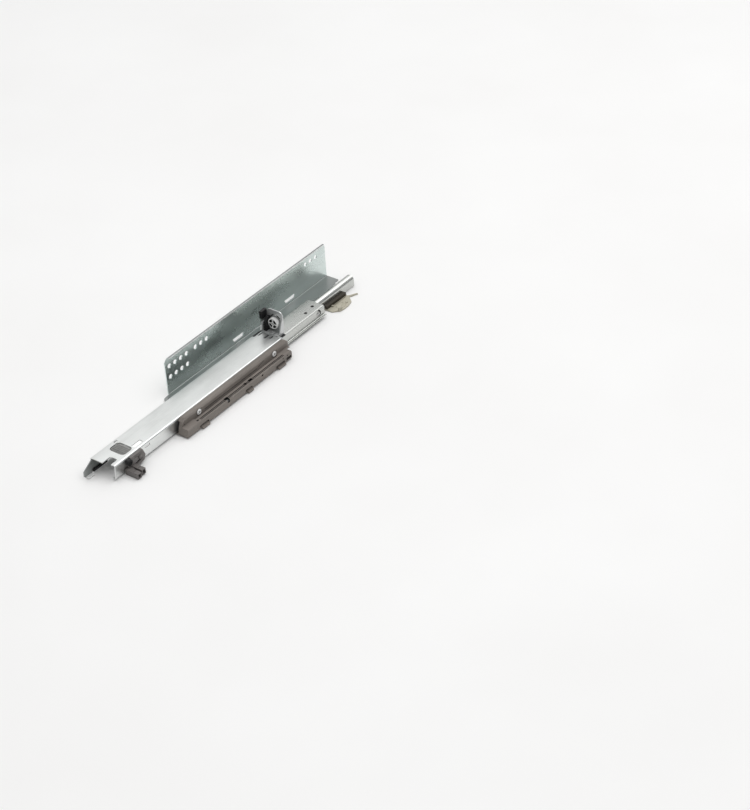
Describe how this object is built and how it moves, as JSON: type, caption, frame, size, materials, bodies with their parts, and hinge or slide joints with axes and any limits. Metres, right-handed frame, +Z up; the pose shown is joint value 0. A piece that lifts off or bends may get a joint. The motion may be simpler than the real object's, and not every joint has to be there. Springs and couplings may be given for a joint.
{
  "type": "undermount drawer slide",
  "caption": "Left-hand undermount drawer slide, telescoping in three rails on roller cages, with a soft-close unit, release lever and rear hook with tilt wheel.",
  "frame": {"origin": "centre of the footprint of the partly open slide, on the plane that the underside of the cabinet rail rests on", "axes": "+Y to the rear of the cabinet along the travel, so the drawer opens towards -Y; +X from the cabinet side towards the middle of the drawer; +Z up"},
  "size_m": [0.0792, 0.4708, 0.0487],
  "materials": {
    "zinc_sheet": "zinc-plated cold-rolled sheet, satin, faint rolling lines along the length",
    "bright_zinc": "bright zinc-plated turned and pressed steel",
    "spring_steel": "grey spring steel, lightly oiled",
    "grey_plastic": "warm grey moulded nylon, fine spark-eroded texture",
    "lever_plastic": "dark grey moulded acetal",
    "black_plastic": "black moulded acetal",
    "beige_plastic": "natural beige nylon",
    "roller_nylon": "white nylon, smooth"
  },
  "bodies": {
    "cabinet_rail": {"cabinet_rail": "zinc_sheet", "roller_track": "zinc_sheet", "striker_plate": "beige_plastic", "front_buffer": "black_plastic", "rear_buffer": "black_plastic"},
    "outer_roller_cage": {"outer_roller_cage": "beige_plastic"},
    "outer_roller_1_body": {"outer_roller_1": "roller_nylon"},
    "outer_roller_2_body": {"outer_roller_2": "roller_nylon"},
    "outer_roller_3_body": {"outer_roller_3": "roller_nylon"},
    "outer_roller_4_body": {"outer_roller_4": "roller_nylon"},
    "inner_roller_cage": {"inner_roller_cage": "beige_plastic"},
    "inner_roller_1_body": {"inner_roller_1": "roller_nylon"},
    "inner_roller_2_body": {"inner_roller_2": "roller_nylon"},
    "inner_roller_3_body": {"inner_roller_3": "roller_nylon"},
    "inner_roller_4_body": {"inner_roller_4": "roller_nylon"},
    "intermediate_rail": {"intermediate_rail": "zinc_sheet", "intermediate_front_buffer": "grey_plastic", "intermediate_rear_buffer": "black_plastic"},
    "drawer_rail": {"drawer_rail": "zinc_sheet", "front_nose": "zinc_sheet", "lever_pin": "lever_plastic", "damper_housing": "grey_plastic", "housing_rivet_1": "bright_zinc", "housing_rivet_2": "bright_zinc", "damper_cylinder": "spring_steel", "spring_anchor": "spring_steel", "housing_floor": "grey_plastic", "hook_bracket": "spring_steel", "hook_block": "black_plastic"},
    "front_catch": {"front_catch": "grey_plastic"},
    "release_lever": {"release_lever": "lever_plastic"},
    "catch_slider": {"damper_piston": "bright_zinc", "catch_slider": "black_plastic", "closing_spring": "spring_steel"},
    "tilt_wheel": {"tilt_wheel": "bright_zinc"}
  },
  "joints": [
    {"name": "drawer_slide", "type": "slide", "parent": "cabinet_rail", "child": "drawer_rail", "axis": [0, -1, 0], "range_m": [-0.156, 0.134]},
    {"name": "intermediate_slide", "type": "slide", "parent": "cabinet_rail", "child": "intermediate_rail", "axis": [0, -1, 0], "range_m": [-0.0781, 0.0671]},
    {"name": "outer_cage_slide", "type": "slide", "parent": "cabinet_rail", "child": "outer_roller_cage", "axis": [0, -1, 0], "range_m": [-0.0391, 0.0336]},
    {"name": "inner_cage_slide", "type": "slide", "parent": "cabinet_rail", "child": "inner_roller_cage", "axis": [0, -1, 0], "range_m": [-0.1171, 0.1006]},
    {"name": "outer_roller_1_spin", "type": "hinge", "parent": "outer_roller_cage", "child": "outer_roller_1_body", "pos_m": [0.0086, -0.00255, 0.011], "axis": [1, 0, 0], "range_deg": [-574.96, 494.16]},
    {"name": "outer_roller_2_spin", "type": "hinge", "parent": "outer_roller_cage", "child": "outer_roller_2_body", "pos_m": [0.0086, 0.02945, 0.011], "axis": [1, 0, 0], "range_deg": [-574.96, 494.16]},
    {"name": "outer_roller_3_spin", "type": "hinge", "parent": "outer_roller_cage", "child": "outer_roller_3_body", "pos_m": [0.0086, 0.06145, 0.011], "axis": [1, 0, 0], "range_deg": [-574.96, 494.16]},
    {"name": "outer_roller_4_spin", "type": "hinge", "parent": "outer_roller_cage", "child": "outer_roller_4_body", "pos_m": [0.0086, 0.09345, 0.011], "axis": [1, 0, 0], "range_deg": [-574.96, 494.16]},
    {"name": "inner_roller_1_spin", "type": "hinge", "parent": "inner_roller_cage", "child": "inner_roller_1_body", "pos_m": [0.0024, -0.07655, 0.0173], "axis": [1, 0, 0], "range_deg": [-2236.54, 1921.41]},
    {"name": "inner_roller_2_spin", "type": "hinge", "parent": "inner_roller_cage", "child": "inner_roller_2_body", "pos_m": [0.0024, -0.04455, 0.0173], "axis": [1, 0, 0], "range_deg": [-2236.54, 1921.41]},
    {"name": "inner_roller_3_spin", "type": "hinge", "parent": "inner_roller_cage", "child": "inner_roller_3_body", "pos_m": [0.0024, -0.01255, 0.0173], "axis": [1, 0, 0], "range_deg": [-2236.54, 1921.41]},
    {"name": "inner_roller_4_spin", "type": "hinge", "parent": "inner_roller_cage", "child": "inner_roller_4_body", "pos_m": [0.0024, 0.01945, 0.0173], "axis": [1, 0, 0], "range_deg": [-2236.54, 1921.41]},
    {"name": "catch_slide", "type": "slide", "parent": "drawer_rail", "child": "catch_slider", "axis": [0, -1, 0], "range_m": [0, 0.04], "deforming": ["closing_spring"]},
    {"name": "release_lever_turn", "type": "hinge", "parent": "drawer_rail", "child": "release_lever", "pos_m": [0.0224, -0.18255, 0.0115], "axis": [-1, 0, 0], "range_deg": [0, 5]},
    {"name": "front_catch_flex", "type": "hinge", "parent": "drawer_rail", "child": "front_catch", "pos_m": [0.0034, -0.18315, 0.0182], "axis": [1, 0, 0], "range_deg": [0, 2]},
    {"name": "tilt_wheel_turn", "type": "hinge", "parent": "drawer_rail", "child": "tilt_wheel", "pos_m": [0.0039, 0.08145, 0.032], "axis": [0, 1, 0], "range_deg": [-180, 180]}
  ],
  "couplings": [
    {"joint": "intermediate_slide", "follows": "drawer_slide", "ratio": 0.5},
    {"joint": "outer_cage_slide", "follows": "drawer_slide", "ratio": 0.25},
    {"joint": "inner_cage_slide", "follows": "drawer_slide", "ratio": 0.75},
    {"joint": "outer_roller_1_spin", "follows": "drawer_slide", "rad_per_m": 64.103},
    {"joint": "outer_roller_2_spin", "follows": "drawer_slide", "rad_per_m": 64.103},
    {"joint": "outer_roller_3_spin", "follows": "drawer_slide", "rad_per_m": 64.103},
    {"joint": "outer_roller_4_spin", "follows": "drawer_slide", "rad_per_m": 64.103},
    {"joint": "inner_roller_1_spin", "follows": "drawer_slide", "rad_per_m": 250},
    {"joint": "inner_roller_2_spin", "follows": "drawer_slide", "rad_per_m": 250},
    {"joint": "inner_roller_3_spin", "follows": "drawer_slide", "rad_per_m": 250},
    {"joint": "inner_roller_4_spin", "follows": "drawer_slide", "rad_per_m": 250}
  ]
}
